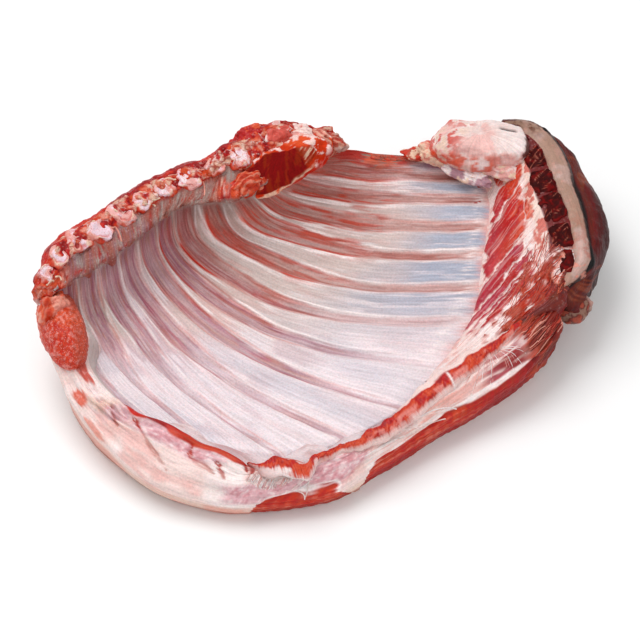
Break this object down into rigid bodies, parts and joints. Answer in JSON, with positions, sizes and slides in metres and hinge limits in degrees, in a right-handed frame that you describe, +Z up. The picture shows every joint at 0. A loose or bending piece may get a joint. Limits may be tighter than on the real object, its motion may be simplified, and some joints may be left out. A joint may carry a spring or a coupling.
{
  "type": "lamb ribs",
  "caption": "Sawn half rib cage of raw lamb lying inside up: a shallow bowl of ribs between the split backbone, the breastbone and the belly flap.",
  "frame": {"origin": "on the table, under the middle of the bounding box", "axes": "+X runs from the loin end to the breast and is the longest side, +Y from the belly flap to the neck end, +Z up, out of the open side of the rib cage"},
  "size_m": [0.4613, 0.3589, 0.1145],
  "materials": {
    "meat": "satin",
    "bone": "satin",
    "fat": "satin",
    "muscle": "satin",
    "marrow": "satin",
    "crust": "satin"
  },
  "bodies": {
    "root": {"rib_01": "bone", "rib_02": "bone", "rib_03": "bone", "rib_04": "bone", "rib_05": "bone", "rib_06": "bone", "rib_07": "bone", "rib_08": "bone", "rib_09": "bone", "rib_10": "bone", "rib_11": "bone", "rib_12": "bone", "rib_13": "bone", "vertebra_04": "bone", "vertebra_05": "bone", "vertebra_06": "bone", "vertebra_07": "bone", "vertebra_08": "bone", "vertebra_09": "bone", "vertebra_10": "bone", "vertebra_11": "bone", "vertebra_12": "bone", "vertebra_13": "bone", "sternebra_01": "marrow", "sternebra_02": "marrow", "sternebra_03": "marrow", "sternebra_04": "marrow", "sternebra_05": "marrow", "sternebra_06": "marrow", "neck_muscle": "muscle", "loin_muscle": "muscle", "breast_cap": "fat", "breast_fat": "fat", "breast_muscle": "crust", "cartilage_tip": "fat", "midriff": "muscle", "chest_muscle": "muscle", "flank_fat": "fat", "meat": "meat"}
  },
  "joints": []
}
